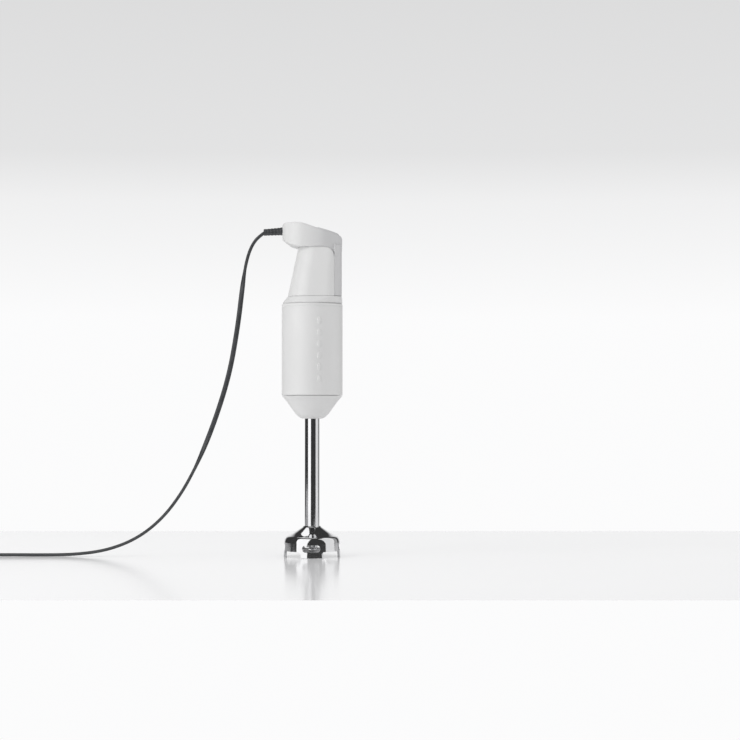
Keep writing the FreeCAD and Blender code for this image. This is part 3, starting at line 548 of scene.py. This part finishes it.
def make_nose():
    """The tapered nose, with the three keys that twist into the barrel's mouth."""
    nose = turned([
        (7.75, 144.4), (11.6, 144.4, 2.6), (16.6, 148.4, 3.0), (27.3, 163.3, 3.4),
        (31.6, 168.0, 0.6), (31.6, 168.4), (26.8, 168.4), (26.8, 180.6, 0.4), (24.8, 180.6, 0.4),
        (24.8, 167.0), (15.0, 157.0), (7.75, 157.0),
    ], steps=160)
    for spin in (0, 120, 240):
        key = bmesh.new()
        bmesh.ops.create_cube(key, size=1.0)
        moved(key, Matrix.Diagonal((2.2 * MM, 8 * MM, 8 * MM, 1)))
        bmesh.ops.bevel(key, geom=key.edges[:], offset=0.0004, segments=2, profile=0.5,
                        affect="EDGES", material=-1)
        moved(key, Matrix.Translation((26.9 * MM, 0, 175 * MM)))
        joined(nose, moved(key, turn(spin)))
    piece("nose", nose, "housing_white", "leg", "nose_cone")


def hook_share(point):
    """1 on the hooked head itself, fading to 0 at the dial's seat, the cord hole and the neck."""
    hook = max(ramp_between(point.x, -0.014, -0.020), ramp_between(point.z, 0.3280, 0.3330))
    dial = ramp_between(Vector((point.x - DIAL_X, point.y)).length, 0.0140, 0.0165)
    hole = ramp_between(Vector((point.y, point.z - CORD_HOLE_Z)).length, 0.0068, 0.0085)
    return hook * dial * max(hole, ramp_between(point.x, -0.026, -0.022))


def close_seam(form):
    """Draws the bend's wall in towards the neck's corner, so that no slot shows between them."""
    for vert in form.verts:
        away = Vector((max(0, vert.co.x - BEND.x), max(0, vert.co.z - BEND.z)))
        if vert.co.x > BEND.x and away.length < BEND_RADIUS + SEAM_REACH:
            push = away.normalized() * SEAM_GAP
            vert.co -= Vector((push.x, 0, push.y))


def spread_corner(form):
    """Widens the head a little round the neck's upper corner."""
    for vert in form.verts:
        share = ramp_between(vert.co.x, 0.019, 0.022) * ramp_between(vert.co.z, 0.3120, 0.3140)
        share *= (ramp_between(vert.co.z, 0.3235, 0.3205)
                  * ramp_between(vert.co.x, 0.027, 0.025))
        vert.co.y *= 1 + CORNER_SPREAD * share


def drop_foot(form):
    """Brings a form's lower rim down onto the collar, which the easing had lifted it from."""
    for vert in form.verts:
        vert.co.z -= FOOT_DROP * ramp_between(vert.co.z, 0.2740, 0.2728)


def make_handle():
    """The head with its spine strip, the neck, the collar and the button caps."""
    head = moulded("head_cover", MESH_STEP, 2, 8, hook_share)
    close_seam(head)
    spread_corner(head)
    neck = moulded("neck_shell", MESH_STEP, 2)
    for form in (head, neck):
        drop_foot(form)
    piece("head", head, "spine_grey", "motor_unit", "head_cover")
    piece("neck", neck, "housing_white", "motor_unit", "neck_shell")
    piece("collar", moulded("collar_ring", 0.0007, 3), "housing_white", "motor_unit",
          "collar_ring")
    for name in ("high_button", "low_button"):
        piece(f"{name}_cap", moulded(name, 0.00035, 8), "button_grey", name, name)


def make_dial():
    """The speed dial: a low disc with a fluted rim and a raised pointer, on the sloping top."""
    disc = turned([(0.0, -1.1), (12.2, -1.1), (12.6, -0.7), (12.6, 0.8, 0.7), (11.0, 1.4, 0.8),
                   (9.2, 1.1, 1.0), (0.0, 1.1)], steps=120)
    flute = bmesh.new()
    bmesh.ops.create_uvsphere(flute, u_segments=8, v_segments=6, radius=1.0)
    moved(flute, Matrix.Translation((12.0 * MM, 0, 0.1 * MM)) @ Matrix.Diagonal(
        (0.62 * MM, 0.62 * MM, 0.75 * MM, 1)))
    copies = 35
    bmesh.ops.spin(flute, geom=flute.verts[:] + flute.edges[:] + flute.faces[:], cent=(0, 0, 0),
                   axis=(0, 0, 1), angle=math.tau * copies / (copies + 1), steps=copies,
                   use_duplicate=True)
    pointer = slab([(-11.4, 1.0, 0.3), (-5.4, 1.0, 0.3), (-5.4, 2.0, 0.4), (-11.4, 2.0, 0.4)],
                   1.6 * MM)
    stub = turned([(0.0, -9.0), (2.6, -9.0), (3.0, -8.6), (3.0, -1.0), (0.0, -1.0)],
                  steps=32)
    dial = joined(disc, flute, pointer, stub)
    moved(dial, Matrix.Translation((DIAL_X, 0, DIAL_Z)) @ turn(DIAL_SLOPE, "Y"))
    piece("dial", dial, "spine_grey", "speed_dial", "speed_dial")


def make_spring(button, height):
    """The coil spring behind a push button, built at its rest length; the script doesn't squash it
    as the button goes in.
    """
    turns, steps = 3, 72
    wire_radius, coil_radius = 0.3 * MM, 3.2 * MM
    start, length = 22.3 * MM, 2.5 * MM
    wire = bmesh.new()
    bmesh.ops.create_circle(wire, segments=10, radius=wire_radius)
    moved(wire, Matrix.Translation((start, 0, coil_radius)) @ turn(90, "X"))
    bmesh.ops.spin(wire, geom=wire.verts[:] + wire.edges[:], cent=(0, 0, 0), axis=(1, 0, 0),
                   dvec=(length / steps, 0, 0), angle=turns * math.tau, steps=steps)
    bmesh.ops.holes_fill(wire, edges=wire.edges)
    bmesh.ops.recalc_face_normals(wire, faces=wire.faces)
    moved(wire, Matrix.Translation((0, 0, height * MM)))
    spring = piece(f"{button}_coil", wire, "shaft_steel", "motor_unit", f"{button}_spring")
    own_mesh(spring)


make_barrel()
make_nose()
make_handle()
make_dial()
make_spring("high_button", 310.8)
make_spring("low_button", 288.6)


# --- leg ----------------------------------------------------------------------------------------


# Deep enough to cut through the bell's wall on both sides.
CUT_DEPTH = 0.08


def make_leg():
    """The steel tube and the bell guard, with its four scallops and four windows."""
    tube = turned([(6.9, 27.6), (7.7, 27.6), (7.7, 157.0, 0.3), (6.9, 157.0, 0.3)], steps=96)
    piece("tube", tube, "steel", "leg", "leg_tube")
    bell = turned([
        (7.75, 32.2), (8.8, 32.2, 0.35), (9.5, 31.2, 0.9), (21.6, 23.4, 2.5), (27.4, 20.9, 1.7),
        (29.1, 17.0, 1.8), (30.0, 0.1, 0.25), (28.9, 0.1, 0.25), (27.9, 16.9, 1.6),
        (26.4, 19.9, 1.5), (21.0, 22.2, 2.5), (9.5, 29.8), (9.5, 18.0, 0.4), (5.0, 18.0, 0.3),
        (5.0, 27.5), (7.75, 27.5),
    ], steps=192)
    tools = []
    for spin in (45, 135):
        scallop = slab([(-11.8, -2), (11.8, -2), (11.8, 6.6, 2.6), (-11.8, 6.6, 2.6)],
                       CUT_DEPTH)
        tools.append(moved(scallop, turn(spin)))
    for spin in (0, 90):
        window = slab([(-9.5, 6.25, 3.6), (9.5, 6.25, 3.6), (9.5, 13.75, 3.6),
                       (-9.5, 13.75, 3.6)], CUT_DEPTH)
        tools.append(moved(window, turn(spin)))
    piece("bell", carved(bell, *tools), "steel", "leg", "blade_guard")


make_leg()


# --- strain relief and plug ---------------------------------------------------------------------


SLEEVE_DROOP = 3.4


def make_sleeve():
    """The ribbed sleeve where the lead leaves the head, pointing a little downwards."""
    ribs = []
    for at in (7.4, 10.9, 14.4, 17.9):
        radius = 4.25 - 0.035 * at
        ribs += [(radius - 0.25, at - 1.2, 0.2), (radius, at - 0.8, 0.3),
                 (radius, at + 0.8, 0.3), (radius - 0.25, at + 1.2, 0.2)]
    sleeve = turned([(0.0, 0.3), (5.5, 0.3, 0.3), (5.5, 1.4, 0.3), (4.2, 1.4), (4.2, 5.2, 0.4),
                     *ribs, (3.5, 20.2, 0.3), (3.5, 23.1, 0.6), (2.4, 23.1), (0.0, 22.6)],
                    steps=48)
    moved(sleeve, Matrix.Translation((-0.0279, 0, CORD_HOLE_Z)) @ turn(270 - SLEEVE_DROOP, "Y"))
    return piece("sleeve", sleeve, "cord_grey", "motor_unit", "strain_relief")


def make_plug():
    """The two-pin plug's body: a waisted grip, with ribs on its edges and a collar for the lead."""
    body = slab([(-424.0, -6.5, 1.5), (-424.0, 6.5, 1.5), (-437.0, 8.0, 6.0), (-448.0, 17.0, 5.0),
                 (-460.0, 17.0, 1.2), (-460.0, -17.0, 1.2), (-448.0, -17.0, 5.0),
                 (-437.0, -8.0, 6.0)], 13.6 * MM)
    flat = [face for face in body.faces if abs(face.normal.y) > 0.9]
    rims = {edge for face in flat for edge in face.edges}
    bmesh.ops.bevel(body, geom=list(rims), offset=0.0024, segments=5, profile=0.5,
                    affect="EDGES", material=-1, clamp_overlap=True)
    moved(body, turn(90, "X"))
    rib = bmesh.new()
    bmesh.ops.create_uvsphere(rib, u_segments=16, v_segments=8, radius=1.0)
    moved(rib, Matrix.Diagonal((0.7 * MM, 1.0 * MM, 4.2 * MM, 1)))
    ribs = []
    for at in (-431.0, -434.0, -437.0):
        for side in (7.1, -7.1):
            copy = rib.copy()
            ribs.append(moved(copy, Matrix.Translation((at * MM, side * MM, 0))))
    rib.free()
    plug = joined(body, *ribs)
    moved(plug, Matrix.Translation((0, 0, 6.8 * MM)))
    return piece("plug", plug, "cord_grey", "motor_unit", "plug_body")


sleeve = make_sleeve()
plug = make_plug()


# --- CAD nodes that show as they are ------------------------------------------------------------


def finish_nodes():
    """Each CAD node takes its material slot's finish."""
    slots = {part["node"]: part["material_slot"] for part in frame["record"]["subparts"]}
    for name, thing in frame["nodes"].items():
        finish = FINISHES[slots[name]]
        if thing.data.materials:
            for index in range(len(thing.data.materials)):
                thing.data.materials[index] = finish
        else:
            thing.data.materials.append(finish)


finish_nodes()


# --- table, light and surroundings --------------------------------------------------------------

# Lamps hung higher than this, in metres, look down at the head.
TOP_OF_HEAD = 0.35
# The blue in the world's greys, as a share of their red.
COOL = 1.004


def make_table():
    """A white, faintly shining table top."""
    recipe = Recipe("table_white")
    recipe.colour(recipe.noise(2.0, 2.0), [
        (0.3, (0.87, 0.87, 0.875)), (0.7, (0.90, 0.90, 0.905))])
    recipe.set({"Roughness": 0.16, "Specular IOR Level": 0.32,
                "Emission Color": (1, 1, 1, 1), "Emission Strength": 0.085})
    form = bmesh.new()
    bmesh.ops.create_grid(form, x_segments=2, y_segments=2, size=0.5)
    moved(form, Matrix.Translation((0, -0.02, 0)) @ Matrix.Diagonal((3.4, 0.82, 1, 1)))
    table = thing_of(form, "table_top")
    table.data.materials.append(recipe.material)


def lamp(name, aside, distance, height, size, power, gloss):
    """A softbox `aside` degrees round from the front. It either lights surfaces, or shows in
    their gloss."""
    data = bpy.data.lights.new(name, "AREA")
    data.shape = "RECTANGLE"
    data.size, data.size_y = size
    data.energy = power
    thing = bpy.data.objects.new(name, data)
    angle = math.radians(aside)
    thing.location = (distance * math.sin(angle), -distance * math.cos(angle), height)
    aim = Vector((0, 0, min(height, TOP_OF_HEAD))) - thing.location
    thing.rotation_euler = aim.to_track_quat("-Z", "Y").to_euler()
    thing.visible_camera = False
    thing.visible_glossy = gloss
    thing.visible_diffuse = not gloss
    scene.collection.objects.link(thing)


def make_lights():
    lamp("key_light", -58, 1.4, 0.7, (0.8, 1.2), 8.0, False)
    lamp("fill_light", 75, 1.5, 0.6, (0.8, 1.2), 1.8, False)
    lamp("left_panel", -41, 1.3, 0.9, (1.40, 2.3), 13.0, True)
    lamp("right_panel", 83, 1.3, 0.9, (1.44, 2.3), 8.8, True)
    lamp("edge_panel", 120, 1.3, 0.9, (0.65, 2.3), 1.6, True)
    lamp("top_panel", -155, 0.62, 1.3, (0.36, 0.7), 1.0, True)


def make_surroundings():
    """A white room: bright where the camera and the table's gloss see it, dimmer as fill light,
    and dark in the gloss of everything that faces forwards."""
    world = bpy.data.worlds.new("studio")
    world.use_nodes = True
    scene.world = world
    tree = world.node_tree
    nodes, links = tree.nodes, tree.links
    ray = nodes.new("ShaderNodeLightPath")
    split = nodes.new("ShaderNodeSeparateXYZ")
    links.new(nodes.new("ShaderNodeTexCoord").outputs["Generated"], split.inputs["Vector"])

    def greys(axis, stops):
        return colour_ramp(tree, split.outputs[axis],
                           [(at, (tone, tone, tone * COOL)) for at, tone in stops])

    seen = greys("Z", [(0.05, 0.97), (0.114, 0.87), (0.14, 0.77), (0.26, 0.70)])
    gloss = greys("Y", [(0.80, 0.045), (0.94, 0.90)])
    fill = nodes.new("ShaderNodeRGB")
    fill.outputs[0].default_value = (0.68, 0.68, 0.685, 1)

    def choose(ray_kind, yes, no):
        mix = nodes.new("ShaderNodeMix")
        mix.data_type = "RGBA"
        links.new(ray.outputs[ray_kind], mix.inputs["Factor"])
        links.new(no, mix.inputs["A"])
        links.new(yes, mix.inputs["B"])
        return mix.outputs["Result"]

    colour = choose("Is Camera Ray", seen, choose("Is Glossy Ray", gloss, fill.outputs[0]))
    links.new(colour, nodes["Background"].inputs["Color"])


make_table()
make_lights()
make_surroundings()
